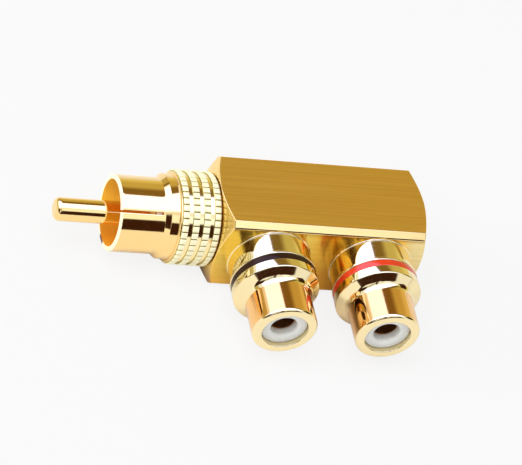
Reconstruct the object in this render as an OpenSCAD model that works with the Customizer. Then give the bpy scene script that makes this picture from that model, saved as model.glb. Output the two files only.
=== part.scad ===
// Right-angle splitter adapter: one phono plug feeding two phono jacks from a square brass bar.
// The plug lies along X with its shell mouth at the origin and its pin towards -X.
// The bar runs along +X behind it, and both jacks point towards -Y.
// The bar lies on one of its flats, so +Z is up and the plug axis is half a bar width above the table.

/* [Plug] */
// Diameter of the centre pin where a jack grips it
pin_d = 3.0; // [2.9:0.05:3.2]
// How far the pin stands out of the shell mouth
pin_reach = 7.3; // [6:0.1:9]
// Radius of the rounded pin tip
pin_tip_r = 0.7; // [0.4:0.1:1.2]
// Outside diameter of the slit shell
shell_d = 9.7; // [9.4:0.1:10.2]
// Wall of the slit shell
shell_wall = 0.6; // [0.5:0.05:0.8]
// Length of the shell in front of the flare
shell_len = 5.8; // [5:0.2:8]
// Number of slits that let the shell spring open
slit_count = 4; // [2:1:6]
// Width of one slit
slit_w = 0.3; // [0.2:0.05:0.5]
// Turn of the first slit about the plug axis, from straight up towards the jacks
slit_turn = 38.5; // [0:0.5:90]
// Thickness of the insulator disc at the bottom of the shell
plug_disc_t = 0.8; // [0.6:0.1:1.5]

/* [Knurled collar] */
// Length of the cone that widens the shell to the land
flare_len = 0.6; // [0.4:0.1:1]
// Diameter of the plain land in front of the knurl
land_d = 10.8; // [10.3:0.1:11]
// Length of the plain land
land_len = 1.1; // [0.8:0.1:1.6]
// Diameter over the knurled pads, a little under the bar width
knurl_d = 12.0; // [11.6:0.1:12]
// Height of one knurled pad above the groove floors
pad_h = 0.25; // [0.2:0.05:0.5]
// Number of knurled bands
band_count = 4; // [3:1:5]
// Length of one knurled band
band_len = 0.87; // [0.7:0.01:1]
// Width of the plain groove between two bands
band_gap = 0.54; // [0.4:0.01:0.7]
// Number of pads round one band
pads_round = 42; // [36:1:48]
// Width of the V-shaped cut between two pads, at the top
pad_cut_w = 0.28; // [0.2:0.02:0.5]
// Slope that leads up to the first band, in height and in length
knurl_lead = 0.4; // [0.3:0.05:0.5]
// Chamfer behind the last band
knurl_chamfer = 0.2; // [0.1:0.05:0.3]
// Width of the undercut that parts the knurl from the bar
undercut_w = 0.14; // [0.1:0.02:0.3]
// Diameter at the bottom of the undercut
undercut_d = 10.9; // [10:0.1:11.2]

/* [Bar] */
// Width across the flats of the square bar
bar_w = 12.1; // [12.1:0.1:14.6]
// Length of the bar behind the axis of the second jack
bar_tail = 6.7; // [6.5:0.1:9]
// Chamfer along the four long edges
bar_chamfer = 0.75; // [0.5:0.05:1]
// Slope of the turned cone at each end of the bar, in degrees from square
end_slope = 24; // [15:1:30]

/* [Jacks] */
// Distance from the plug end of the bar to the first jack
jack_offset = 7.05; // [6.5:0.05:8]
// Distance between the two jacks
jack_pitch = 13.75; // [12.5:0.25:16.5]
// Diameter of the boss between bar and colour ring
boss_d = 10.5; // [10.2:0.1:10.8]
// Height of the boss above the flat of the bar
boss_h = 3.5; // [3:0.1:4.5]
// Diameter of the boss lip, the colour ring and the flange
flange_d = 11.0; // [10.8:0.1:11.6]
// Thickness of the boss lip behind the colour ring
lip_t = 0.35; // [0.2:0.05:0.5]
// Width of the bead at the foot of the boss
bead_w = 0.25; // [0.15:0.05:0.4]
// Width of the colour ring
ring_w = 0.95; // [0.8:0.05:1.4]
// Length of the flange's straight side in front of the colour ring
flange_t = 1.05; // [0.9:0.05:1.4]
// Slope of the cone that leads from the flange down to the barrel, in degrees from square
shoulder_slope = 35; // [20:1:45]
// Ground diameter of the jack barrel
barrel_d = 8.3; // [8.2:0.05:8.4]
// Length from the flange's straight side to the mouth
barrel_len = 6.2; // [5.7:0.1:8.2]
// Radius of the hollow fillet between cone and barrel
cove_r = 1.1; // [0.5:0.05:1.3]
// Radius of the rounded barrel rim
rim_r = 0.45; // [0.3:0.05:0.6]
// Bore of the barrel
barrel_bore_d = 5.9; // [5.6:0.1:6.2]
// Outside diameter of the barrel stem inside ring and boss
stem_d = 7.6; // [7.2:0.1:7.8]
// How deep the insulator face lies inside the rim
face_recess = 0.65; // [0.3:0.05:1.2]
// Hole in the insulator face
face_hole_d = 3.3; // [3.2:0.05:3.5]
// Thickness of the insulator face in front of the contact
face_wall = 1.2; // [0.6:0.05:1.6]
// Rounding of the insulator hole
face_lip_r = 0.4; // [0.2:0.05:0.55]

/* [Inner conductor] */
// Bore of the female contact
contact_bore_d = 3.1; // [3.05:0.05:3.2]
// Wall of the female contact
contact_wall = 0.45; // [0.35:0.05:0.6]
// Depth of the female contact bore
contact_depth = 7.7; // [6.5:0.1:9]
// Length of the slot that parts the two contact fingers
contact_slot_len = 5.0; // [3:0.5:6]
// Width of the slot that parts the two contact fingers
contact_slot_w = 0.4; // [0.3:0.05:0.5]
// Diameter of the contact tail
tail_d = 1.6; // [1.2:0.1:1.8]
// Diameter of the rod that joins pin and contacts
bus_d = 3.6; // [3:0.1:3.8]
// Wall of the sleeve round the joining rod
sleeve_wall = 1.2; // [0.8:0.1:1.3]

/* [Fits] */
// Gap on radius between pieces that are pushed together
slip_gap = 0.02; // [0.01:0.01:0.04]
// Air round a contact tail where it passes bar and sleeve
tail_air = 0.3; // [0.2:0.05:0.5]
// How deep the boss sits in the bar
boss_seat = 1.6; // [1.2:0.1:2]
// Diameter of the boss foot in the bar
foot_d = 8.8; // [8.4:0.1:9]
// How deep the collar spigot sits in the bar
spigot_len = 2.2; // [1.8:0.1:2.4]
// Diameter of the collar spigot in the bar
spigot_d = 9.0; // [8.8:0.1:9.4]

/* [Hidden] */
$fn = 96;

// Small breaks and lead-ins
edge_r = 0.15;
face_draft = 0.04;
rim_round = 0.25;
shoulder_round = 0.2;
lead_in = 0.2;
overcut = 1;
// The knurl core stays this much under the floors of the cuts between pads
core_drop = 0.05;
// The barrel stem stops this far short of the step in the insulator's seat
stem_stop = 0.75;
// How deep the sleeve side of the plug insulator holds the joining rod
rod_overlap = 1;
// Length of the thin tail that fixes the pin in the rod
pin_tail_len = 3;
// Solid metal under the bore of a contact
contact_web = 1;
// Turn of the slot across each contact
contact_slot_turn = 45;

// Radii
pin_r = pin_d / 2;
shell_r = shell_d / 2;
shell_bore_r = shell_r - shell_wall;
land_r = land_d / 2;
knurl_r = knurl_d / 2;
core_r = knurl_r - pad_h - core_drop;
undercut_r = undercut_d / 2;
flange_r = flange_d / 2;
boss_r = boss_d / 2;
bead_r = (boss_r + flange_r) / 2;
barrel_r = barrel_d / 2;
barrel_bore_r = barrel_bore_d / 2;
stem_r = stem_d / 2;
spigot_r = spigot_d / 2;
foot_r = foot_d / 2;
contact_bore_r = contact_bore_d / 2;
contact_r = contact_bore_r + contact_wall;
tail_r = tail_d / 2;
bus_r = bus_d / 2;
sleeve_r = bus_r + slip_gap + sleeve_wall;
insulator_r = sleeve_r + lead_in;

// Stations along the plug axis, measured from the shell mouth
flare_x = shell_len;
land_x = flare_x + flare_len;
knurl_x = land_x + land_len;
band_pitch = band_len + band_gap;
knurl_len = band_count * band_len + (band_count - 1) * band_gap + knurl_chamfer;
bar_x = knurl_x + knurl_len + undercut_w;
floor_x = land_x;
disc_x = floor_x - plug_disc_t;
spigot_x = bar_x + spigot_len;
jack_x = [bar_x + jack_offset, bar_x + jack_offset + jack_pitch];
bar_len = jack_offset + jack_pitch + bar_tail;

// The joining rod starts inside the plug insulator and ends past the second jack
rod_x = spigot_x - rod_overlap;
rod_end_x = jack_x[1] + bus_d;
sleeve_end_x = rod_end_x + sleeve_wall;

// Stations along a jack, measured from the plug axis
flat_z = bar_w / 2;
seat_z = flat_z - boss_seat;
ring_z = flat_z + boss_h;
flange_z = ring_z + ring_w;
shoulder_z = flange_z + flange_t;
mouth_z = shoulder_z + barrel_len;
// The rounded flange edge runs into the cone at slope_r, the cone into the fillet at cone_r
slope_r = flange_r - shoulder_round * (1 - sin(shoulder_slope));
slope_z = shoulder_z + shoulder_round * cos(shoulder_slope);
cone_r = barrel_r + cove_r * (1 - sin(shoulder_slope));
cone_z = slope_z + (slope_r - cone_r) * tan(shoulder_slope);
cove_z = cone_z + cove_r * cos(shoulder_slope);
face_z = mouth_z - face_recess;
contact_z = face_z - face_wall;
contact_floor_z = contact_z - contact_depth;
contact_base_z = contact_floor_z - contact_web;
stem_z = seat_z + stem_stop;
// The tail ends inside the joining rod, where its edge is still under the rod's surface
tail_end_z = edge_r - sqrt(bus_r * bus_r - tail_r * tail_r);

gold = "goldenrod";
bright_gold = "gold";

// Turns a shape drawn along Z so that it lies along the plug axis
module along_plug() {
    rotate([0, 90, 0])
        children();
}

// Puts a shape drawn along Z at jack i, pointing out of the bar
module at_jack(i) {
    translate([jack_x[i], 0, 0])
        rotate([90, 0, 0])
            children();
}

// Half section of a round piece from z0 to z1, with rounded outer corners
module section(r, z0, z1, round0 = 0, round1 = 0) {
    difference() {
        translate([0, z0])
            square([r, z1 - z0]);
        if (round1 > 0)
            corner_cut(r, z1, round1, 1);
        if (round0 > 0)
            corner_cut(r, z0, round0, -1);
    }
}

// The piece that rounds an outer corner at (r, z); side is 1 for an upper corner and -1 for a lower one
module corner_cut(r, z, round, side) {
    difference() {
        translate([r - round, side > 0 ? z - round : z - overcut])
            square([round + overcut, round + overcut]);
        translate([r - round, z - side * round])
            circle(round);
    }
}

// Half section of a 45 degree break at an inner edge of radius r and height z
module edge_break(r, z, size) {
    polygon([[0, z - size], [r, z - size], [r + size, z], [r + size, z + overcut], [0, z + overcut]]);
}

// Square bar with chamfered long edges, seen along its length
module bar_section() {
    half = bar_w / 2;
    inner = half - bar_chamfer;
    polygon([[half, -inner], [half, inner], [inner, half], [-inner, half],
             [-half, inner], [-half, -inner], [-inner, -half], [inner, -half]]);
}

// Round blank whose two ends are turned to shallow cones outside the flats
module cone_ends() {
    half = bar_w / 2;
    reach = half * sqrt(2);
    drop = (reach - half) * tan(end_slope);
    rotate_extrude()
        polygon([[0, 0], [half, 0], [reach, drop], [reach, bar_len - drop], [half, bar_len], [0, bar_len]]);
}

module body_block() {
    color(gold)
        difference() {
            translate([bar_x, 0, 0])
                along_plug()
                    intersection() {
                        linear_extrude(bar_len)
                            bar_section();
                        cone_ends();
                    }
            // Seat for the collar spigot, with the bore for the sleeve behind it
            translate([bar_x - overcut, 0, 0])
                along_plug()
                    cylinder(r = spigot_r + slip_gap, h = spigot_len + overcut);
            translate([spigot_x - overcut, 0, 0])
                along_plug()
                    cylinder(r = sleeve_r + slip_gap, h = sleeve_end_x - spigot_x + overcut);
            // Seat for each boss, with a narrow passage for the contact tail
            for (i = [0, 1])
                at_jack(i) {
                    translate([0, 0, seat_z])
                        cylinder(r = foot_r + slip_gap, h = boss_seat + overcut);
                    cylinder(r = contact_r + slip_gap, h = seat_z + overcut);
                }
        }
}

// One band of the knurl: a disc whose rim is cut into pads
module knurl_band() {
    linear_extrude(band_len)
        difference() {
            circle(knurl_r);
            for (i = [0 : pads_round - 1])
                rotate(i * 360 / pads_round)
                    polygon([[knurl_r - pad_h, 0], [knurl_r + pad_h, -pad_cut_w],
                             [knurl_r + pad_h, pad_cut_w]]);
        }
}

// Core and pads of all bands, with a slope in front of the first band and a chamfer behind the last one
module knurl() {
    knurl_end = knurl_x + knurl_len;
    intersection() {
        union() {
            translate([0, 0, knurl_x])
                cylinder(r = core_r, h = knurl_len);
            for (i = [0 : band_count - 1])
                translate([0, 0, knurl_x + knurl_chamfer + i * band_pitch])
                    knurl_band();
        }
        rotate_extrude()
            polygon([[0, knurl_x], [knurl_r - knurl_lead, knurl_x], [knurl_r, knurl_x + knurl_lead],
                     [knurl_r, knurl_end - knurl_chamfer],
                     [knurl_r - knurl_chamfer, knurl_end], [0, knurl_end]]);
    }
}

// Shell, flare, land, knurl core and spigot, turned from one bar
module plug_barrel() {
    color(bright_gold)
        along_plug()
            difference() {
                union() {
                    rotate_extrude() {
                        section(shell_r, 0, flare_x, rim_round);
                        polygon([[0, flare_x], [shell_r, flare_x], [land_r, land_x], [0, land_x]]);
                        section(land_r, land_x, knurl_x);
                        section(undercut_r, knurl_x, bar_x);
                        section(spigot_r, bar_x, spigot_x);
                    }
                    knurl();
                }
                rotate_extrude() {
                    section(shell_bore_r, -overcut, floor_x);
                    mirror([0, 1])
                        edge_break(shell_bore_r, 0, rim_round / 2);
                    section(insulator_r + slip_gap, floor_x - overcut, spigot_x + overcut);
                }
                for (i = [0 : slit_count - 1])
                    rotate(180 + slit_turn + i * 360 / slit_count)
                        translate([0, -slit_w / 2, -overcut])
                            cube([shell_r + overcut, slit_w, shell_len - slit_w + overcut]);
            }
}

// Disc at the bottom of the shell with a tube behind it that holds the pin
module plug_insulator() {
    color("whitesmoke")
        along_plug()
            difference() {
                rotate_extrude() {
                    section(shell_bore_r - slip_gap, disc_x, floor_x, edge_r);
                    section(insulator_r, floor_x, spigot_x);
                }
                translate([0, 0, disc_x - overcut])
                    cylinder(r = bus_r + slip_gap, h = spigot_x - disc_x + 2 * overcut);
            }
}

// Pin with a rounded tip, a shank as thick as the joining rod and a tail that is fixed in it
module centre_pin() {
    color(bright_gold)
        along_plug()
            rotate_extrude() {
                section(pin_r, -pin_reach, disc_x, pin_tip_r);
                section(bus_r, disc_x, rod_x);
                section(tail_r, rod_x, rod_x + pin_tail_len);
            }
}

// Rod that joins the pin to both contacts, with a cross hole for each tail
module bus_rod() {
    color("darkgoldenrod")
        difference() {
            along_plug()
                difference() {
                    rotate_extrude()
                        section(bus_r, rod_x, rod_end_x, edge_r, edge_r);
                    translate([0, 0, rod_x - overcut])
                        cylinder(r = tail_r + slip_gap, h = pin_tail_len + overcut);
                }
            for (i = [0, 1])
                at_jack(i)
                    cylinder(r = tail_r + slip_gap, h = 2 * (bus_r + overcut), center = true);
        }
}

// Sleeve that keeps the joining rod off the bar, closed at its far end
module bus_sleeve() {
    color("ivory")
        difference() {
            along_plug()
                difference() {
                    rotate_extrude()
                        section(sleeve_r, spigot_x, sleeve_end_x);
                    translate([0, 0, spigot_x - overcut])
                        cylinder(r = bus_r + slip_gap, h = rod_end_x - spigot_x + overcut);
                }
            for (i = [0, 1])
                at_jack(i)
                    cylinder(r = tail_r + tail_air, h = 2 * sleeve_r);
        }
}

// Turned boss: foot in the bar, bead at the flat, lip behind the colour ring
module boss(i) {
    color(bright_gold)
        at_jack(i)
            difference() {
                rotate_extrude() {
                    section(foot_r, seat_z, flat_z);
                    section(bead_r, flat_z, flat_z + bead_w, 0, bead_w / 2);
                    section(boss_r, flat_z, ring_z - lip_t);
                    polygon([[0, ring_z - lip_t - lead_in], [boss_r, ring_z - lip_t - lead_in],
                             [flange_r, ring_z - lip_t], [flange_r, ring_z], [0, ring_z]]);
                }
                translate([0, 0, seat_z - overcut])
                    cylinder(r = stem_r + slip_gap, h = ring_z - seat_z + 2 * overcut);
            }
}

// Colour ring held between the boss and the flange
module colour_ring(i, shade) {
    color(shade)
        at_jack(i)
            difference() {
                rotate_extrude()
                    section(flange_r, ring_z, flange_z, edge_r, edge_r);
                translate([0, 0, ring_z - overcut])
                    cylinder(r = stem_r + slip_gap, h = ring_w + 2 * overcut);
            }
}

// Barrel with its flange and the stem that is screwed into the boss
module barrel(i) {
    color(bright_gold)
        at_jack(i)
            difference() {
                rotate_extrude() {
                    section(stem_r, stem_z, flange_z);
                    section(flange_r, flange_z, shoulder_z);
                    translate([flange_r - shoulder_round, shoulder_z])
                        circle(shoulder_round);
                    difference() {
                        polygon([[0, shoulder_z], [flange_r - shoulder_round, shoulder_z], [slope_r, slope_z],
                                 [cone_r, cone_z], [cone_r, cove_z], [0, cove_z]]);
                        translate([barrel_r + cove_r, cove_z])
                            circle(cove_r);
                    }
                    section(barrel_r, cove_z, mouth_z, 0, rim_r);
                }
                translate([0, 0, stem_z - overcut])
                    cylinder(r = barrel_bore_r, h = mouth_z - stem_z + 2 * overcut);
                rotate_extrude()
                    edge_break(barrel_bore_r, mouth_z, edge_r);
            }
}

// Insulator: flange behind the barrel stem, face with a rounded hole in front of the contact
module jack_insulator(i) {
    face_hole_r = face_hole_d / 2;
    color("whitesmoke")
        at_jack(i)
            difference() {
                rotate_extrude() {
                    section(stem_r - slip_gap, seat_z, stem_z);
                    section(barrel_bore_r - slip_gap, stem_z, face_z, 0, edge_r);
                }
                translate([0, 0, seat_z - overcut])
                    cylinder(r = contact_r + slip_gap, h = contact_z - seat_z + overcut);
                rotate_extrude() {
                    polygon([[0, contact_z - overcut], [face_hole_r - face_draft, contact_z - overcut],
                             [face_hole_r, face_z - face_lip_r], [face_hole_r, face_z + overcut],
                             [0, face_z + overcut]]);
                    translate([face_hole_r, face_z - face_lip_r])
                        difference() {
                            translate([-face_lip_r, 0])
                                square([2 * face_lip_r, face_lip_r + overcut]);
                            translate([face_lip_r, 0])
                                circle(face_lip_r);
                        }
                }
            }
}

// Female contact: a slotted tube that grips a pin, with a tail to the joining rod
module contact(i) {
    color("darkgoldenrod")
        at_jack(i)
            difference() {
                rotate_extrude() {
                    section(contact_r, contact_base_z, contact_z, 0, edge_r);
                    section(tail_r, tail_end_z, contact_base_z);
                }
                translate([0, 0, contact_floor_z])
                    cylinder(r = contact_bore_r, h = contact_depth + overcut);
                rotate(contact_slot_turn)
                    translate([-contact_r - overcut, -contact_slot_w / 2, contact_z - contact_slot_len])
                        cube([2 * (contact_r + overcut), contact_slot_w, contact_slot_len + overcut]);
            }
}

body_block();
plug_barrel();
plug_insulator();
centre_pin();
bus_rod();
bus_sleeve();
boss(0);  // left_boss
barrel(0);  // left_barrel
colour_ring(0, "#241a14");  // black_ring
jack_insulator(0);  // left_insulator
contact(0);  // left_contact
boss(1);  // right_boss
barrel(1);  // right_barrel
colour_ring(1, "#e03a20");  // red_ring
jack_insulator(1);  // right_insulator
contact(1);  // right_contact
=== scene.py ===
"""Right-angle phono splitter, gold plated: the looks of every piece, the studio round it and the camera."""

import math

import bpy
import numpy as np
from mathutils import Matrix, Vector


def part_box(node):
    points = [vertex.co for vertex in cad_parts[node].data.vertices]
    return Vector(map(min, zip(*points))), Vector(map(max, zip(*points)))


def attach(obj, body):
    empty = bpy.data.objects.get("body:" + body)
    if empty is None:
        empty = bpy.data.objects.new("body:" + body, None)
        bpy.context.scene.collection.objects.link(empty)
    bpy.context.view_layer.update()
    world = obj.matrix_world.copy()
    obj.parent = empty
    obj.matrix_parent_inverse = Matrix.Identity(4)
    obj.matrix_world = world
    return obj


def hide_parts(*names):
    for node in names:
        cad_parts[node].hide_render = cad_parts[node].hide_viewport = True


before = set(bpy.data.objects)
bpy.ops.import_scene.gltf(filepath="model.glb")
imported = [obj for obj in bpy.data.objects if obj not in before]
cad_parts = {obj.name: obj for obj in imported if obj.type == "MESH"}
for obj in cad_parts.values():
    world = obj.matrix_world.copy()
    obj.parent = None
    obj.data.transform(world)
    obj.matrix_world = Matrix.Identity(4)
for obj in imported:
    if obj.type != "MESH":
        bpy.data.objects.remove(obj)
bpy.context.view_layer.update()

# Sizes are in millimetres, depths of surface marks in microns. Both become metres where Blender takes them.
MM = 0.001
MICRON = 0.000001

# Edges that turn by more than this are not smoothed over
SHARP = math.radians(40)


def span(node, axis):
    """Both ends of a CAD node's box along X, Y or Z, given as 0, 1 or 2, to a thousandth of a millimetre."""
    return [round(corner[axis] / MM, 3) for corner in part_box(node)]


# Bar
BAR_X0, BAR_X1 = span("body_block", 0)
BAR_LENGTH = round(BAR_X1 - BAR_X0, 3)
BAR_HALF = span("body_block", 2)[1]
BAR_CHAMFER = 0.75
BAR_DISC_R = 6.0
END_SLOPE = math.radians(24)
EDGE_STEP = 0.09
SOFT_EDGE, SHARP_EDGE = 0.5, 0.1

# Shell of the plug, measured from its mouth
SHELL_R = 4.85
SHELL_BORE_R = 4.25
RIM_ROUND = 0.22
SLIT_HALF = 0.15
SLIT_END = 5.5
SLIT_TURN = math.radians(38.5)

# Flare and land behind the shell, the step to the knurl, then neck and spigot behind the knurl
FLARE_START, LAND_START, LAND_END = 5.8, 6.4, 7.5
LAND_R = 5.4
STEP_R = 5.62
NECK_R = 5.45
NECK_GAP = 0.01
SPIGOT_R = 4.5
SPIGOT_BORE_R = 3.24
SPIGOT_END = span("plug_barrel", 0)[1]

# Knurl
KNURL_R = 6.03
CORE_R = 5.75
PAD_COUNT = 42
POINTS_PER_PAD = 12
BAND_COUNT = 4
BAND_START, BAND_PITCH, BAND_LENGTH = 7.7, 1.41, 0.87
KNURL_END = 12.8
FRONT_CHAMFER, BACK_CHAMFER = 0.4, 0.2

# Pin of the plug
PIN_TIP, TAIL_END = span("centre_pin", 0)
SHANK_START = 5.7
SHANK_END = span("bus_rod", 0)[0]
PIN_R, SHANK_R, TAIL_R = 1.5, 1.8, 0.8

# Jacks: places along the bar, then stations measured out from the plug axis
JACKS = {side: round(sum(span(side + "_barrel", 0)) / 2, 3) for side in ("left", "right")}
RING, SEAT = (-y for y in span("left_boss", 1))
FLANGE = -span("black_ring", 1)[0]
MOUTH, STEM = (-y for y in span("left_barrel", 1))
FACE = -span("left_insulator", 1)[0]
CONTACT = -span("left_contact", 1)[0]
BEAD_TOP, BOSS_TOP, LIP, SHOULDER = 6.3, 9.0, 9.2, 11.654
SLOPE = math.radians(35)

# Radii of a jack's pieces
SEAT_R, BEAD_R, BOSS_R, FLANGE_R, RING_R = 4.4, 5.375, 5.25, 5.5, 5.47
BOSS_BORE_R, STEM_R, BARREL_R, BARREL_BORE_R = 3.82, 3.8, 4.15, 2.95
HEAD_R, INSULATOR_R, INSULATOR_BORE_R, HOLE_R = 3.76, 2.93, 2.02, 1.65


# Shapes

def rounded(corners, closed, steps=5):
    """Line through (along, out, radius) corners with an arc in each corner.

    An arc starts radius * tan(half the turn) before its corner and ends as far behind it. Its points are the
    arm from the arc's centre to its start, turned by equal parts of the corner's turn.
    """
    corners = np.array(corners, float)
    p, r = corners[:, :2], corners[:, 2]
    a = p - np.roll(p, 1, 0)
    b = np.roll(p, -1, 0) - p
    a /= np.linalg.norm(a, axis=1)[:, None]
    b /= np.linalg.norm(b, axis=1)[:, None]
    turn = np.arctan2(a[:, 0] * b[:, 1] - a[:, 1] * b[:, 0], (a * b).sum(1))
    start = p - a * (r * np.tan(np.abs(turn) / 2))[:, None]
    side = np.stack([-a[:, 1], a[:, 0]], 1) * np.sign(turn)[:, None]
    centre = start + side * r[:, None]
    angle = turn[:, None] * np.linspace(0, 1, steps)
    arm = -side * r[:, None]
    c, s = np.cos(angle), np.sin(angle)
    arc = np.stack([c * arm[:, :1] - s * arm[:, 1:], s * arm[:, :1] + c * arm[:, 1:]], 2) + centre[:, None]
    if not closed:
        arc[0], arc[-1] = p[0], p[-1]
    line = arc.reshape(-1, 2)
    keep = np.linalg.norm(line - np.roll(line, 1, 0), axis=1) > 1e-6
    return line[keep]


def ring_faces(rows, columns, joined):
    """Squares between neighbouring rows of a grid of closed rings. joined adds last row to first."""
    r = np.arange(rows if joined else rows - 1)[:, None]
    c = np.arange(columns)[None]
    r2, c2 = (r + 1) % rows, (c + 1) % columns
    corners = [r * columns + c, r * columns + c2, r2 * columns + c2, r2 * columns + c]
    return np.stack(corners, 2).reshape(-1, 4)


def solid(grids, joined, cap=None):
    """Points and faces of closed skins, one per grid, with their faces outwards.

    A grid that isn't joined end to end gets a middle point at each end. cap lists the faces of an end by
    column instead, for a section whose middle lies outside it. A skin's faces are turned round where the sum
    of point times normal over its squares comes out negative.
    """
    points, faces, base = [], [], 0
    for g in grids:
        rows, columns = g.shape[:2]
        flat = g.reshape(-1, 3)
        quads = ring_faces(rows, columns, joined)
        skin = [quads.tolist()]
        end = (rows - 1) * columns
        if cap:
            skin += [[f[::-1] for f in cap], [[end + i for i in f] for f in cap]]
        elif not joined:
            c = np.arange(columns)
            c2 = (c + 1) % columns
            first, last = rows * columns, rows * columns + 1
            flat = np.concatenate([flat, [g[0].mean(0)], [g[-1].mean(0)]])
            skin.append(np.stack([c2, c, first + 0 * c], 1).tolist())
            skin.append(np.stack([end + c, end + c2, last + 0 * c], 1).tolist())
        v = flat[quads]
        side, diagonal, other = v[:, 1] - v[:, 0], v[:, 2] - v[:, 0], v[:, 3] - v[:, 0]
        normal = np.cross(side, diagonal) + np.cross(diagonal, other)
        inside_out = np.einsum("ij,ij->i", v[:, 0], normal).sum() < 0
        faces += [[i + base for i in (f[::-1] if inside_out else f)] for part in skin for f in part]
        points.append(flat)
        base += len(flat)
    return np.concatenate(points), faces


def turned_along_x(line, columns=160):
    """A line of (along, out) swept round the plug axis.

    x is along, y is minus out times the sine and z is out times the cosine of the angle.
    """
    t = np.arange(columns) * 2 * np.pi / columns
    along, out = line[:, :1], line[:, 1:]
    return np.stack([along + 0 * t, -out * np.sin(t), out * np.cos(t)], 2)


def turned_at_jack(line, side, columns=160):
    """A line of (along, out) swept round a jack's axis, which points along -Y from the bar.

    x is the jack's place plus out times the sine, y is minus along, z is out times the cosine of the angle.
    """
    t = np.arange(columns) * 2 * np.pi / columns
    along, out = line[:, :1], line[:, 1:]
    return np.stack([JACKS[side] + out * np.sin(t), -along + 0 * t, out * np.cos(t)], 2)


def divided(line, longest):
    """The same line with extra points, so that no step is longer than the given length."""
    out = [line[:1]]
    for a, b in zip(line[:-1], line[1:]):
        n = max(1, math.ceil(np.linalg.norm(b - a) / longest))
        out.append(a + (b - a) * (np.arange(1, n + 1) / n)[:, None])
    return np.concatenate(out)


def piece(name, skin, materials, node, pick=None):
    """Points and faces as an object that stands for a CAD node.

    pick gives each face the number of its material, from the middles and the normals of all faces.
    """
    points, faces = skin
    mesh = bpy.data.meshes.new(name)
    mesh.from_pydata((points * MM).tolist(), [], faces)
    mesh.update()
    mesh.polygons.foreach_set("use_smooth", np.ones(len(faces), bool))
    mesh.set_sharp_from_angle(angle=SHARP)
    for m in materials:
        mesh.materials.append(m)
    if pick:
        middle = np.empty(len(faces) * 3)
        normal = np.empty(len(faces) * 3)
        mesh.polygons.foreach_get("center", middle)
        mesh.polygons.foreach_get("normal", normal)
        chosen = pick(middle.reshape(-1, 3) / MM, normal.reshape(-1, 3))
        mesh.polygons.foreach_set("material_index", chosen.astype(np.int32))
    obj = bpy.data.objects.new(name, mesh)
    bpy.context.scene.collection.objects.link(obj)
    obj.modifiers.new("even_normals", "WEIGHTED_NORMAL").keep_sharp = True
    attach(obj, "root")
    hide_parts(node)
    return obj


def across_grain(mesh):
    """UV whose first part runs across the brushing, so that reflections can be smeared that way.

    With n the normal of the face, u is n's y times the point's z less n's z times the point's y, and v is x.
    """
    sides = np.empty(len(mesh.polygons), np.int32)
    normal = np.empty(len(mesh.polygons) * 3)
    corner = np.empty(len(mesh.loops), np.int32)
    point = np.empty(len(mesh.vertices) * 3)
    mesh.polygons.foreach_get("loop_total", sides)
    mesh.polygons.foreach_get("normal", normal)
    mesh.loops.foreach_get("vertex_index", corner)
    mesh.vertices.foreach_get("co", point)
    n = np.repeat(normal.reshape(-1, 3), sides, 0)
    p = point.reshape(-1, 3)[corner]
    uv = np.stack([n[:, 1] * p[:, 2] - n[:, 2] * p[:, 1], p[:, 0]], 1)
    mesh.uv_layers.new(name="across").data.foreach_set("uv", uv.astype(np.float32).ravel())


# Materials

# How marks are drawn out on X, Y and Z: the larger the number, the closer they lie along that axis
EVEN = (1, 1, 1)
ROUND_PLUG = (9, 0.4, 0.4)
ROUND_JACK = (0.4, 9, 0.4)
ALONG_BAR = (0.08, 9, 9)
ON_BAR_ENDS = (0.3, 5, 5)

# Brown of a worn spot, where the plate is gone
WORN = (0.10, 0.035, 0.02, 1)


def shader(name):
    """A new material with its node tree and its shader."""
    m = bpy.data.materials.new(name)
    m.use_nodes = True
    tree = m.node_tree
    return m, tree, tree.nodes["Principled BSDF"]


def grain(tree, stretch, scale, detail=3.0):
    """Noise on Object coordinates, drawn out by stretch."""
    place = tree.nodes.new("ShaderNodeTexCoord")
    fit = tree.nodes.new("ShaderNodeMapping")
    fit.inputs["Scale"].default_value = stretch
    noise = tree.nodes.new("ShaderNodeTexNoise")
    noise.inputs["Scale"].default_value = scale
    noise.inputs["Detail"].default_value = detail
    tree.links.new(place.outputs["Object"], fit.inputs["Vector"])
    tree.links.new(fit.outputs["Vector"], noise.inputs["Vector"])
    return noise.outputs["Fac"]


def ranged(tree, source, source_range, low=0.0, high=1.0):
    """Maps a range of a value to low..high, and holds it there outside that range."""
    remap = tree.nodes.new("ShaderNodeMapRange")
    remap.inputs["From Min"].default_value = source_range[0]
    remap.inputs["From Max"].default_value = source_range[1]
    remap.inputs["To Min"].default_value = low
    remap.inputs["To Max"].default_value = high
    tree.links.new(source, remap.inputs["Value"])
    return remap.outputs["Result"]


def noise_range(tree, source, low, high):
    """Maps 0.3..0.7 of a noise, where nearly all of it lies, to low..high."""
    return ranged(tree, source, (0.3, 0.7), low, high)


def mixed(tree, share, first, second, blend="MIX"):
    """Colour between first and second by a share. Each is a colour or the output of a node."""
    mix = tree.nodes.new("ShaderNodeMix")
    mix.data_type = "RGBA"
    mix.blend_type = blend
    tree.links.new(share, mix.inputs["Factor"])
    for socket, colour in (("A", first), ("B", second)):
        if isinstance(colour, tuple):
            mix.inputs[socket].default_value = colour
        else:
            tree.links.new(colour, mix.inputs[socket])
    return mix.outputs["Result"]


def tint(tree, source, dark, light):
    """Mixes two colours by a noise."""
    return mixed(tree, noise_range(tree, source, 0, 1), (*dark, 1), (*light, 1))


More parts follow.
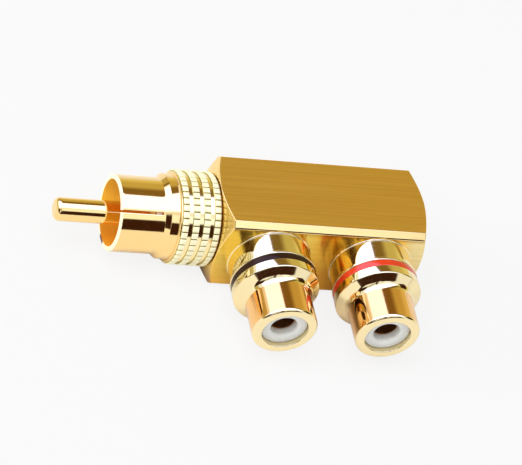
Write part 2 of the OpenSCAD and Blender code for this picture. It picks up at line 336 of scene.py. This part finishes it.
def dents(tree, bsdf, layers):
    """Chains bumps. Each layer is a height source and its depth in microns."""
    last = None
    for source, depth in layers:
        bump = tree.nodes.new("ShaderNodeBump")
        bump.inputs["Strength"].default_value = 1.0
        bump.inputs["Distance"].default_value = depth * MICRON
        tree.links.new(source, bump.inputs["Height"])
        if last:
            tree.links.new(last, bump.inputs["Normal"])
        last = bump.outputs["Normal"]
    tree.links.new(last, bsdf.inputs["Normal"])


def paint_light_and_shade(tree, colour, axis, low, high, painted_tone):
    """Multiplies a colour by a painted tone of light or shade, from none of it at low to all at high, on X, Y
    or Z.
    """
    place = tree.nodes.new("ShaderNodeTexCoord")
    apart = tree.nodes.new("ShaderNodeSeparateXYZ")
    tree.links.new(place.outputs["Object"], apart.inputs["Vector"])
    share = ranged(tree, apart.outputs[axis], (low * MM, high * MM))
    return mixed(tree, share, colour, (*painted_tone, 1), "MULTIPLY")


def nick(tree, colour, place, reach):
    """Turns a colour to the worn brown within reach of a place, fading out over the last third."""
    here = tree.nodes.new("ShaderNodeTexCoord")
    gap = tree.nodes.new("ShaderNodeVectorMath")
    gap.operation = "DISTANCE"
    gap.inputs[1].default_value = [v * MM for v in place]
    tree.links.new(here.outputs["Object"], gap.inputs[0])
    share = ranged(tree, gap.outputs["Value"], (reach * MM, reach * 0.67 * MM))
    return mixed(tree, share, colour, WORN)


def gold(name, dark, light, rough, marks=EVEN, depth=1.0, sway=0.6, smear=0.0, metal=1.0, lined=None,
         painted_tones=(), worn=()):
    """Gold plate between two colours and two roughnesses, with fine turning or brushing marks of some depth.

    sway bends reflections a little and smear draws them out across the brushing. metal under 1 gives a
    partly matt surface, which here carries painted light. lined is the fineness of streaks in the colour
    along the marks. Each painted tone is (axis, from, to, colour), light or shade painted along an axis, and
    each worn spot (place, reach).
    """
    m, tree, bsdf = shader(name)
    bsdf.inputs["Metallic"].default_value = metal
    colour = tint(tree, grain(tree, marks, lined) if lined else grain(tree, EVEN, 260), dark, light)
    # Painted light and shade, each a band along one axis
    for painted_tone in painted_tones:
        colour = paint_light_and_shade(tree, colour, *painted_tone)
    for spot in worn:
        colour = nick(tree, colour, *spot)
    tree.links.new(colour, bsdf.inputs["Base Color"])
    tree.links.new(noise_range(tree, grain(tree, marks, 400), *rough), bsdf.inputs["Roughness"])
    dents(tree, bsdf, [(grain(tree, EVEN, 330, 1.0), sway), (grain(tree, marks, 1000, 2.0), depth)])
    if smear:
        way = tree.nodes.new("ShaderNodeTangent")
        way.direction_type = "UV_MAP"
        way.uv_map = "across"
        tree.links.new(way.outputs["Tangent"], bsdf.inputs["Tangent"])
        bsdf.inputs["Anisotropic"].default_value = smear
    return m


def plastic(name, dark, light, rough, shine=0.5, soft=0.0, glow=None):
    """Moulded plastic with a faint skin of its own.

    soft is how much light it lets in, and glow how far that goes in red, green and blue, in millimetres.
    """
    m, tree, bsdf = shader(name)
    tree.links.new(tint(tree, grain(tree, EVEN, 500), dark, light), bsdf.inputs["Base Color"])
    tree.links.new(noise_range(tree, grain(tree, EVEN, 900), *rough), bsdf.inputs["Roughness"])
    dents(tree, bsdf, [(grain(tree, EVEN, 2500, 2.0), 1.5)])
    bsdf.inputs["Specular IOR Level"].default_value = shine
    if soft:
        bsdf.inputs["Subsurface Weight"].default_value = soft
        bsdf.inputs["Subsurface Radius"].default_value = glow
        bsdf.inputs["Subsurface Scale"].default_value = MM
    return m


# Bar: brushed top and bottom, finer sides, turned ends, cut edges. The sides carry painted reflections and
# painted shade, and the turned ends painted shadow towards the bottom
brushed_gold = gold("bar_brushed", (0.80, 0.455, 0.056), (0.94, 0.565, 0.083), (0.30, 0.36), ALONG_BAR, 2.0,
                    sway=0, smear=0.7, lined=420)
# Painted reflections and painted shade on the sides: orange below x 35.5 mm, deeper past 26 mm, paler past
# 38.5 mm, darker towards the bottom, and a dark band just under the top edge
side_gold = gold("bar_side", (0.83, 0.76, 0.455), (0.893, 0.87, 0.575), (0.15, 0.22), ALONG_BAR,
                 sway=0, smear=0.8, lined=260,
                 painted_tones=(("X", 38.5, 35.5, (1.053, 0.81, 0.235)), ("X", 24.0, 26.0, (1.08, 0.91, 0.66)),
                         ("Z", 1.0, -6.0, (0.84, 0.62, 0.57)), ("Z", 4.75, 5.2, (0.6, 0.48, 0.35))))
# Painted shadow on the turned ends: darker and browner towards the bottom
face_gold = gold("bar_polished", (0.95, 0.66, 0.22), (0.98, 0.71, 0.26), (0.17, 0.25), ON_BAR_ENDS,
                 painted_tones=(("Z", -3.0, -6.0, (0.36, 0.20, 0.08)), ("Z", 1.0, -1.0, (0.98, 0.92, 0.7))))
edge_gold = gold("bar_edge", (0.97, 0.72, 0.31), (1.0, 0.76, 0.35), (0.07, 0.11), ALONG_BAR, 0.8, sway=0)

# Plug: polished outside; a rim painted pale for the light it mirrors, with one worn spot; a bore painted
# orange for light bounced inside, with painted shade at top and bottom; pads painted pale as highlights, the
# cuts and the gap before the bar painted dark as shade
plug_gold = gold("plug_gold", (0.94, 0.67, 0.28), (0.97, 0.70, 0.30), (0.05, 0.09), ROUND_PLUG, 0.9)
# Painted reflection on the rim: pale and partly matt; the worn spot is real wear
rim_sheen_gold = gold("shell_rim", (0.95, 0.86, 0.56), (0.98, 0.90, 0.62), (0.3, 0.4), metal=0.1,
                worn=[((0.0, -0.64, -4.5), 0.95)])
# Painted light in the bore: orange and mostly matt for light bounced round inside the gold, with painted
# shade towards its top and bottom
bore_bounce_gold = gold("shell_bore", (1.0, 0.60, 0.06), (1.0, 0.67, 0.09), (0.20, 0.28), ROUND_PLUG, 2.0,
                 metal=0.12,
                 painted_tones=(("Z", 2.0, 4.2, (0.92, 0.55, 0.4)), ("Z", -2.6, -4.2, (0.95, 0.66, 0.5))))
# Painted highlight on the pads' tops: pale and mostly matt gold
pad_highlight_gold = gold("knurl_pads", (0.98, 0.92, 0.60), (1.0, 0.96, 0.68), (0.40, 0.50), metal=0.1)
# Painted shade in the cuts between pads: darker gold
cut_shade_gold = gold("knurl_cuts", (0.56, 0.47, 0.15), (0.66, 0.56, 0.20), (0.16, 0.24))
groove_gold = gold("knurl_grooves", (0.94, 0.78, 0.41), (0.97, 0.82, 0.45), (0.06, 0.12))
# Painted shade in the gap between knurl and bar: dark brown
gap_shade_dark = gold("collar_gap", (0.26, 0.10, 0.03), (0.40, 0.17, 0.05), (0.3, 0.4))
disc_white = plastic("disc_white", (0.80, 0.78, 0.72), (0.84, 0.82, 0.76), (0.3, 0.4))

# Jacks: turned metal; painted shade on the barrel's straight side, and painted light in the recess round the
# insulator
jack_gold = gold("jack_gold", (0.91, 0.755, 0.425), (0.94, 0.785, 0.445), (0.05, 0.09), ROUND_JACK, 0.9)
# Painted shade on the barrel's straight side: a warmer, deeper copy of the jack's plate
barrel_shade_gold = gold("barrel_shade_gold", (0.90, 0.53, 0.195), (0.94, 0.56, 0.21), (0.05, 0.09), ROUND_JACK, 0.9)
# Painted reflection in the recess round the insulator: pale and partly matt gold
recess_sheen_gold = gold("recess_sheen_gold", (0.86, 0.78, 0.56), (0.92, 0.84, 0.62), (0.3, 0.4), ROUND_JACK, metal=0.2)
contact_gold = gold("contact_gold", (0.62, 0.34, 0.17), (0.74, 0.42, 0.22), (0.3, 0.42), ROUND_JACK, 2.0)
black_plastic = plastic("ring_black", (0.022, 0.008, 0.004), (0.034, 0.013, 0.006), (0.16, 0.24), 0.15)
red_plastic = plastic("ring_red", (0.68, 0.035, 0.008), (0.76, 0.052, 0.014), (0.12, 0.20), 0.6)
milky_plastic = plastic("insulator_milky", (0.75, 0.76, 0.72), (0.81, 0.82, 0.78), (0.25, 0.4), 0.5,
                        soft=0.6, glow=(1.0, 1.0, 0.9))

# Inside the bar
rod_brass = gold("rod_brass", (0.55, 0.38, 0.15), (0.72, 0.52, 0.24), (0.3, 0.45), ROUND_PLUG, 4.0)
sleeve_plastic = plastic("sleeve_plastic", (0.72, 0.70, 0.62), (0.82, 0.80, 0.72), (0.4, 0.55))


# Bar

def bar_outline():
    """Closed outline of the bar seen along its length, as (y, z): a square with cut corners.

    The cuts run softly into the front and the back, and sharply into the top and the bottom.
    """
    h, c = BAR_HALF, BAR_HALF - BAR_CHAMFER
    corners = [(h, -c), (h, c), (c, h), (-c, h), (-h, c), (-h, -c), (-c, -h), (c, -h)]
    radii = (SOFT_EDGE, SOFT_EDGE, SHARP_EDGE, SHARP_EDGE) * 2
    line = rounded([(*p, r) for p, r in zip(corners, radii)], True, 7)
    return divided(np.concatenate([line, line[:1]]), 0.3)[:-1]


def bar_grid():
    """The bar as rows of outlines: disc, cone, a small round, the long side, and the same at the far end.

    The cone's edge lies where a point of the outline is (its distance from the axis minus the disc's radius)
    times the slope behind the disc. The round is a curve of second order from a step down the cone to a step
    along the side.
    """
    outline = bar_outline()
    reach = np.linalg.norm(outline, axis=1)[:, None]
    away = outline / reach
    slope = math.tan(END_SLOPE)
    step = np.minimum(EDGE_STEP, 0.8 * (reach - BAR_DISC_R))
    rows = []

    def row(depth, out):
        rows.append(np.concatenate([depth, away * out], 1))

    for r in (1.5, 3.0, 4.5, 5.6, BAR_DISC_R):
        row(0 * reach, r + 0 * reach)
    foot = reach - step * math.cos(END_SLOPE)
    for f in (0.25, 0.5, 0.75, 1.0):
        out = BAR_DISC_R + f * (foot - BAR_DISC_R)
        row((out - BAR_DISC_R) * slope, out)
    edge = (reach - BAR_DISC_R) * slope
    for f in (0.25, 0.5, 0.75, 1.0):
        g = 1 - f
        depth = g * g * (edge - step * math.sin(END_SLOPE)) + 2 * f * g * edge + f * f * (edge + step)
        row(depth, g * g * foot + (1 - g * g) * reach)
    near = np.array(rows)
    far = near[::-1].copy()
    far[..., 0] = BAR_LENGTH - far[..., 0]
    middle = [near[-1] + (far[0] - near[-1]) * f for f in np.linspace(0, 1, 12)[1:-1]]
    grid = np.concatenate([near, middle, far])
    grid[..., 0] += BAR_X0
    return grid


def bar_finish(middle, normal):
    """0 for the coarsely brushed top and bottom, 1 the sides, 2 the turned ends and 3 the cut edges."""
    up = np.abs(normal[:, 2])
    end = np.abs(normal[:, 0]) > 0.3
    return np.select([up > 0.985, end, up > 0.3], [0, 2, 3], 1)


bar = piece("bar", solid([bar_grid()], False), [brushed_gold, side_gold, face_gold, edge_gold],
            "body_block", bar_finish)
across_grain(bar.data)


# Plug

FINGER_STEPS = 44


def shell_fingers():
    """Four spring fingers of the shell. Each is a rounded slab of the wall between two slits, along the axis.

    Round the slab: out along the outer arc, across the far slit wall, back along the inner arc, across the
    near wall. Along it: the wall thins to a round rim at the mouth, by one minus the root of one minus the
    square of what is left.
    """
    grids = []
    rim = RIM_ROUND * (1 - np.cos(np.linspace(0, np.pi / 2, 10)))
    along = np.concatenate([rim, np.linspace(0.5, SLIT_END, 8)])
    outer = SHELL_R - RIM_ROUND * (1 - np.sqrt(1 - np.clip(1 - along / RIM_ROUND, 0, 1) ** 2))
    inner = SHELL_BORE_R + 0.03 * np.clip(1 - along / 0.03, 0, 1)
    f = np.linspace(0, 1, FINGER_STEPS)
    for k in range(4):
        a0 = SLIT_TURN + k * np.pi / 2
        a1 = a0 + np.pi / 2
        rows = []
        for x, ro, ri in zip(along, outer, inner):
            soft = min(0.05, max(ro - ri, 1e-4) * 0.3)
            go, gi = math.asin(SLIT_HALF / ro), math.asin(SLIT_HALF / ri)
            cut = soft / ro
            arc_out = a0 + go + cut + f * (np.pi / 2 - 2 * go - 2 * cut)
            arc_in = a1 - gi - cut - f * (np.pi / 2 - 2 * gi - 2 * cut)
            t = np.concatenate([arc_out, [a1 - go - cut * 0.3, a1 - go, a1 - gi, a1 - gi - cut * 0.3],
                                arc_in, [a0 + gi + cut * 0.3, a0 + gi, a0 + go, a0 + go + cut * 0.3]])
            wall = np.array([ro - soft * 0.3, ro - soft, ri + soft, ri + soft * 0.3])
            r = np.concatenate([ro + 0 * f, wall, ri + 0 * f, wall[::-1]])
            rows.append(np.stack([x + 0 * r, -r * np.sin(t), r * np.cos(t)], 1))
        grids.append(np.array(rows))
    return grids


def finger_cap():
    """Faces that close a finger's section: squares between its two arcs, and one face at each slit wall."""
    n = FINGER_STEPS
    arcs = [[i, i + 1, 2 * n + 2 - i, 2 * n + 3 - i] for i in range(n - 1)]
    far_wall = list(range(n - 1, n + 5))
    near_wall = [*range(2 * n + 3, 2 * n + 8), 0]
    return arcs + [far_wall, near_wall]


def pad_height(x, t):
    """0 in the cuts and grooves, 1 on top of a pad.

    Across a pad the height falls off to each cut as a sine, and the top is slightly crowned. Along the axis
    each band has round shoulders. The lower of both counts.
    """
    u = np.abs((t * PAD_COUNT / (2 * np.pi) + 0.5) % 1 - 0.5) * 2
    across = np.sin(np.clip(u / 0.32, 0, 1) * np.pi / 2) * (1 - 0.2 * (1 - u) ** 2)
    along = np.zeros_like(x)
    for k in range(BAND_COUNT):
        start = BAND_START + k * BAND_PITCH
        inside = np.clip(np.minimum(x - start, start + BAND_LENGTH - x) / 0.1, 0, 1)
        along = np.maximum(along, np.sqrt(1 - (1 - inside) ** 2))
    return np.minimum(across, along)


def collar_grid():
    """All of the plug behind the slits as one closed skin: flare, land, knurl, neck, spigot and bore."""
    columns = PAD_COUNT * POINTS_PER_PAD
    t = np.arange(columns) * 2 * np.pi / columns
    front = rounded([(SLIT_END, SHELL_BORE_R, 0.0), (SLIT_END, SHELL_R, 0.0), (FLARE_START, SHELL_R, 0.05),
                     (LAND_START, LAND_R, 0.08), (LAND_END, LAND_R, 0.07), (LAND_END, STEP_R, 0.05),
                     (LAND_END + 0.08, CORE_R, 0.03), (BAND_START - 0.02, CORE_R, 0.01)], False)
    edge = np.array([0.0, 0.015, 0.04, 0.075, 0.115, 0.16])
    band = np.concatenate([edge, np.linspace(0.26, BAND_LENGTH - 0.26, 4), BAND_LENGTH - edge[::-1],
                           BAND_LENGTH + np.array([0.03, 0.25, 0.51])])
    starts = BAND_START + BAND_PITCH * np.arange(BAND_COUNT)
    x = np.concatenate([[BAND_START - 0.02], *(start + band for start in starts)])[:-2, None]
    lead = np.clip((x - LAND_END) / FRONT_CHAMFER, 0, 1)
    tail = np.clip((KNURL_END - x) / BACK_CHAMFER, 0, 1)
    top = KNURL_R - FRONT_CHAMFER * (1 - lead) - BACK_CHAMFER * (1 - tail)
    r = np.maximum(CORE_R, CORE_R + (top - CORE_R) * pad_height(x + 0 * t, t + 0 * x))
    pads = np.stack([x + 0 * t, -r * np.sin(t), r * np.cos(t)], 2)
    neck_end = BAR_X0 - NECK_GAP
    back = rounded([(KNURL_END, CORE_R, 0.01), (KNURL_END, NECK_R, 0.01), (neck_end, NECK_R, 0.02),
                    (neck_end, SPIGOT_R, 0.03), (SPIGOT_END, SPIGOT_R, 0.1),
                    (SPIGOT_END, SPIGOT_BORE_R, 0.05), (LAND_START, SPIGOT_BORE_R, 0.05),
                    (LAND_START, SHELL_BORE_R, 0.05), (LAND_START - 0.5, SHELL_BORE_R, 0.05)], False)
    return np.concatenate([turned_along_x(front, columns), pads, turned_along_x(back, columns)])


def collar_skin():
    """The collar's own skin, joined end to end, and the fingers' skins."""
    points, faces = solid([collar_grid()], True)
    more, more_faces = solid(shell_fingers(), False, finger_cap())
    return np.concatenate([points, more]), faces + [[i + len(points) for i in f] for f in more_faces]


def collar_finish(middle, normal):
    """1 for the tops of the knurl's pads, 2 the bore, 3 the gap in front of the bar and 0 the rest.

    4 is for the cuts between pads, 5 for the shell's rim and 6 for the grooves between bands.
    """
    x, y, z = middle.T
    r = np.hypot(y, z)
    knurl = (x > BAND_START) & (x < KNURL_END) & (r > CORE_R - 0.01)
    pad = knurl & (r > CORE_R + 0.55 * (KNURL_R - CORE_R))
    bore = (x > 0.03) & (x < LAND_START) & (r < SHELL_BORE_R + 0.02)
    gap = (x > KNURL_END) & (x < BAR_X0)
    cut = knurl & ((x - BAND_START) % BAND_PITCH < BAND_LENGTH)
    return np.select([pad, bore, gap, cut, x < RIM_ROUND, knurl], [1, 2, 3, 4, 5, 6], 0)


piece("plug_collar", collar_skin(),
      [plug_gold, pad_highlight_gold, bore_bounce_gold, gap_shade_dark, cut_shade_gold, rim_sheen_gold, groove_gold],
      "plug_barrel", collar_finish)

pin_line = rounded([(PIN_TIP, 0.3, 0.0), (PIN_TIP, PIN_R, 0.7), (SHANK_START, PIN_R, 0.05),
                    (SHANK_START, SHANK_R, 0.05), (SHANK_END, SHANK_R, 0.05), (SHANK_END, TAIL_R, 0.05),
                    (TAIL_END, TAIL_R, 0.05), (TAIL_END, 0.2, 0.0)], False, 9)
piece("pin", solid([turned_along_x(pin_line, 96)], False), [plug_gold], "centre_pin")


# Jacks

def barrel_finish(side):
    """Pick for a barrel: 1 for its straight side, 2 for the recess in front of the insulator, 0 elsewhere."""
    def pick(middle, normal):
        straight = (np.abs(normal[:, 1]) < 0.05) & (middle[:, 1] < -SHOULDER - 1)
        out = np.hypot(middle[:, 0] - JACKS[side], middle[:, 2])
        return np.where(straight, np.where(out > (BARREL_R + BARREL_BORE_R) / 2, 1, 2), 0)
    return pick


def jack(side, ring_colour, ring_plastic):
    """Boss, colour ring, barrel and insulator of one jack, each a closed line swept round the jack's axis."""
    def turned(corners, steps):
        return solid([turned_at_jack(rounded(corners, True, steps), side)], True)

    boss = turned([(SEAT, BOSS_BORE_R, 0.05), (SEAT, SEAT_R, 0.05), (BAR_HALF, SEAT_R, 0.02),
                   (BAR_HALF, BEAD_R, 0.02), (BEAD_TOP, BEAD_R, 0.11), (BEAD_TOP, BOSS_R, 0.03),
                   (BOSS_TOP, BOSS_R, 0.05), (LIP, FLANGE_R, 0.05), (RING, FLANGE_R, 0.12),
                   (RING, BOSS_BORE_R, 0.05)], 9)
    piece(side + "_boss_turned", boss, [jack_gold], side + "_boss")

    ring = turned([(RING, BOSS_BORE_R, 0.03), (RING, RING_R, 0.12), (FLANGE, RING_R, 0.12),
                   (FLANGE, BOSS_BORE_R, 0.03)], 7)
    piece("ring_" + ring_colour, ring, [ring_plastic], ring_colour + "_ring")

    cone_end = SHOULDER + (FLANGE_R - BARREL_R) * math.tan(SLOPE)
    barrel = turned([(STEM, BARREL_BORE_R, 0.05), (STEM, STEM_R, 0.05), (FLANGE, STEM_R, 0.02),
                     (FLANGE, FLANGE_R, 0.04), (SHOULDER, FLANGE_R, 0.2), (cone_end, BARREL_R, 1.1),
                     (MOUTH, BARREL_R, 0.45), (MOUTH, BARREL_BORE_R, 0.1)], 17)
    piece(side + "_barrel_turned", barrel, [jack_gold, barrel_shade_gold, recess_sheen_gold],
          side + "_barrel", barrel_finish(side))

    insulator = turned([(SEAT, INSULATOR_BORE_R, 0.05), (SEAT, HEAD_R, 0.1), (STEM, HEAD_R, 0.1),
                        (STEM, INSULATOR_R, 0.05), (FACE, INSULATOR_R, 0.12), (FACE, HOLE_R, 0.4),
                        (CONTACT, HOLE_R, 0.05), (CONTACT, INSULATOR_BORE_R, 0.02)], 9)
    piece(side + "_insulator_moulded", insulator, [milky_plastic], side + "_insulator")


jack("left", "black", black_plastic)
jack("right", "red", red_plastic)

# The CAD's own pieces that stay in sight or inside, with better materials
for node, material in (("plug_insulator", disc_white), ("bus_rod", rod_brass), ("bus_sleeve", sleeve_plastic),
                       ("left_contact", contact_gold), ("right_contact", contact_gold)):
    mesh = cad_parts[node].data
    mesh.materials.clear()
    mesh.materials.append(material)


# Studio

PALE = (0.97, 1.0, 1.07)
WARM = (0.80, 0.70, 0.28)
DEEP = (0.60, 0.49, 0.15)
BROWN = (0.233, 0.146, 0.035)
OLIVE = (0.55, 0.46, 0.18)
BLACK = (0.045, 0.016, 0.008)
NEAR_BLACK = (0.12, 0.08, 0.02)
CARD = (1.15, 1.3, 1.5)
PANEL = (1.7, 1.95, 3.4)


def rise(value, low, high):
    """0 below low, 1 above high, and 3 s squared minus 2 s cubed in between."""
    s = np.clip((value - low) / (high - low), 0, 1)
    return s * s * (3 - 2 * s)


def fall(value, low, high):
    """1 below low and 0 above high, with the same soft step."""
    return 1 - rise(value, low, high)


def between(value, a, b, c, d):
    """Rises from a to b and falls from c to d."""
    return rise(value, a, b) * fall(value, c, d)


def studio_light(d):
    """Light that the metal mirrors from each direction of the studio, as layers laid one over the other.

    turn is the direction's compass angle, 0 where the jacks point and growing towards the far end of the bar,
    and high its height, both in degrees. lean is its angle from straight up, towards the corner behind that
    end. px and py are its flat parts over its height, in which a level panel has straight edges.
    """
    x, y, z = d[:, 0], d[:, 1], d[:, 2]
    up = np.maximum(z, 0.02)
    px, py = x / up, y / up
    far = (px + py) / math.sqrt(2)
    turn = np.degrees(np.arctan2(x, -y))
    high = np.degrees(np.arcsin(np.clip(z, -1, 1)))
    lean = np.degrees(np.arctan(far))
    light = np.ones((len(d), 3)) * PALE

    def lay(share, colour):
        light[:] = light * (1 - share[:, None]) + np.asarray(colour) * share[:, None]

    # Warm wall from the far end of the bar round to the back, then a darker and a brown band behind
    lay(between(turn, 62, 70, 178, 190) * rise(high, 1, 8), WARM)
    behind = rise(np.abs(turn), 75, 95)
    lay(behind * between(lean, 22, 24, 60, 78), DEEP)
    lay(behind * between(lean, 22, 24, 37, 50), BROWN)
    # Low band on the plug's side
    lay(fall(turn, -76, -70) * fall(high, 13, 17), OLIVE)
    # Black card in front, cut away above an edge that climbs to the far end's side, and a thin strip over it
    top = 9.5 + 14.5 * rise(turn, -26, -11)
    cut_away = rise(high - top, 0, 1.5) * between(turn, -42, -38, 2, 6)
    lay(between(turn, -75, -70, 33, 36) * fall(high, 30, 33) * (1 - cut_away), BLACK)
    lay(between(turn, -54, -50, -9, -6) * between(high, 33, 35, 39, 41), NEAR_BLACK)
    # Leaning black strip, and a black card past the far end of the bar
    lay(fall(np.abs(turn + 4 + 0.77 * (high - 26)), 3, 5) * between(high, 24, 27, 50, 54), BLACK)
    lay(between(turn, 54, 58, 96, 102) * between(high, 10, 13, 33, 36), BLACK)
    # Pale card above the black one in front
    lay(between(turn, 8, 14, 28.5, 31.5) * between(high, 31.5, 34, 49, 54), CARD)
    # Level panel overhead, with its far corner cut off
    lay(rise(px, -2.0, -1.7) * between(py, -0.62, -0.42, 1.6, 2.2) * fall(far, 0.435, 0.475), PANEL)
    return light


def node_graph(owner):
    """The emptied node tree of a material or a world."""
    owner.use_nodes = True
    owner.node_tree.nodes.clear()
    return owner.node_tree


def stage_piece(name, points, faces):
    """An object of the studio, which is no part of the model."""
    mesh = bpy.data.meshes.new(name)
    mesh.from_pydata(points.tolist(), [], faces)
    mesh.update()
    obj = bpy.data.objects.new(name, mesh)
    bpy.context.scene.collection.objects.link(obj)
    return obj


def tent():
    """Dome of 1.5 m round the object that only mirrored rays see, with the studio's light on its points."""
    rows, columns, radius = 180, 360, 1.5
    high = np.radians(np.linspace(-12, 89.9, rows))[:, None]
    turn = (np.arange(columns) * 2 * np.pi / columns)[None]
    level = np.cos(high)
    d = np.stack([level * np.sin(turn), -level * np.cos(turn), np.sin(high) + 0 * turn], 2).reshape(-1, 3)
    obj = stage_piece("studio_tent", d * radius, ring_faces(rows, columns, False).tolist())
    light = np.concatenate([studio_light(d), np.ones((len(d), 1))], 1)
    paint = obj.data.color_attributes.new("light", "FLOAT_COLOR", "POINT")
    paint.data.foreach_set("color", light.astype(np.float32).ravel())
    m = bpy.data.materials.new("tent_light")
    tree = node_graph(m)
    read = tree.nodes.new("ShaderNodeAttribute")
    read.attribute_name = "light"
    glow = tree.nodes.new("ShaderNodeEmission")
    end = tree.nodes.new("ShaderNodeOutputMaterial")
    tree.links.new(read.outputs["Color"], glow.inputs["Color"])
    tree.links.new(glow.outputs["Emission"], end.inputs["Surface"])
    m.cycles.emission_sampling = "NONE"
    obj.data.materials.append(m)
    obj.visible_camera = obj.visible_diffuse = obj.visible_shadow = obj.visible_transmission = False


def table():
    """White table. To the camera it is nine tenths plain white, and the rest keeps the object's shadow."""
    half = 3.0
    z = -BAR_HALF * MM - 0.00001
    corners = np.array([(-half, -half, z), (half, -half, z), (half, half, z), (-half, half, z)])
    obj = stage_piece("table", corners, [[0, 1, 2, 3]])
    m = bpy.data.materials.new("table_white")
    tree = node_graph(m)
    ray = tree.nodes.new("ShaderNodeLightPath")
    share = tree.nodes.new("ShaderNodeMath")
    share.operation = "MULTIPLY"
    share.inputs[1].default_value = 0.9
    tree.links.new(ray.outputs["Is Camera Ray"], share.inputs[0])
    paper = tree.nodes.new("ShaderNodeBsdfDiffuse")
    paper.inputs["Color"].default_value = (0.88, 0.88, 0.89, 1)
    plain = tree.nodes.new("ShaderNodeEmission")
    plain.inputs["Color"].default_value = (0.945, 0.945, 0.945, 1)
    mix = tree.nodes.new("ShaderNodeMixShader")
    end = tree.nodes.new("ShaderNodeOutputMaterial")
    tree.links.new(share.outputs[0], mix.inputs["Fac"])
    tree.links.new(paper.outputs["BSDF"], mix.inputs[1])
    tree.links.new(plain.outputs["Emission"], mix.inputs[2])
    tree.links.new(mix.outputs["Shader"], end.inputs["Surface"])
    m.cycles.emission_sampling = "NONE"
    obj.data.materials.append(m)


def room():
    """Pale room: white for the camera, in mirrors and through clear pieces, softer for what it lights."""
    world = bpy.data.worlds.new("room")
    bpy.context.scene.world = world
    tree = node_graph(world)
    ray = tree.nodes.new("ShaderNodeLightPath")
    seen = ray.outputs["Is Camera Ray"]
    for kind in ("Is Glossy Ray", "Is Transmission Ray"):
        either = tree.nodes.new("ShaderNodeMath")
        either.operation = "MAXIMUM"
        tree.links.new(seen, either.inputs[0])
        tree.links.new(ray.outputs[kind], either.inputs[1])
        seen = either.outputs[0]
    back = tree.nodes.new("ShaderNodeBackground")
    end = tree.nodes.new("ShaderNodeOutputWorld")
    tree.links.new(ranged(tree, seen, (0, 1), 0.6, 1.0), back.inputs["Strength"])
    tree.links.new(back.outputs["Background"], end.inputs["Surface"])


def lamp(name, place, size, watts):
    """Soft square lamp one metre away towards place, facing the object and seen by no mirror."""
    data = bpy.data.lights.new(name, "AREA")
    data.shape = "SQUARE"
    data.size = size
    data.energy = watts
    obj = bpy.data.objects.new(name, data)
    bpy.context.scene.collection.objects.link(obj)
    back = np.array(place, float)
    back /= np.linalg.norm(back)
    right = np.cross((0, 1, 0), back)
    right /= np.linalg.norm(right)
    pose = np.eye(4)
    pose[:3] = np.stack([right, np.cross(back, right), back, back], 1)
    obj.matrix_world = Matrix(pose.tolist())
    obj.visible_glossy = False
    obj.visible_camera = False


tent()
table()
room()
lamp("overhead", (-0.35, -0.25, 0.90), 0.9, 8.0)
lamp("beside_the_plug", (-0.95, 0.05, 0.28), 0.4, 5.0)


# Camera, solved from the outlines of the bar, the shell and the jacks. Columns: right, up, back and place.
camera_data = bpy.data.cameras.new("camera")
camera_data.sensor_width = 36.0
camera_data.lens = 236.818
camera_data.clip_start = 0.01
camera_data.clip_end = 20.0
camera = bpy.data.objects.new("camera", camera_data)
bpy.context.scene.collection.objects.link(camera)
camera.matrix_world = Matrix((
    (0.936291, -0.062804, -0.345564, -0.130385),
    (-0.178446, 0.762374, -0.622048, -0.272087),
    (0.302516, 0.644082, 0.702597, 0.305452),
    (0, 0, 0, 1)))
bpy.context.scene.camera = camera
bpy.context.scene.view_settings.view_transform = "Standard"

bpy.context.view_layer.update()
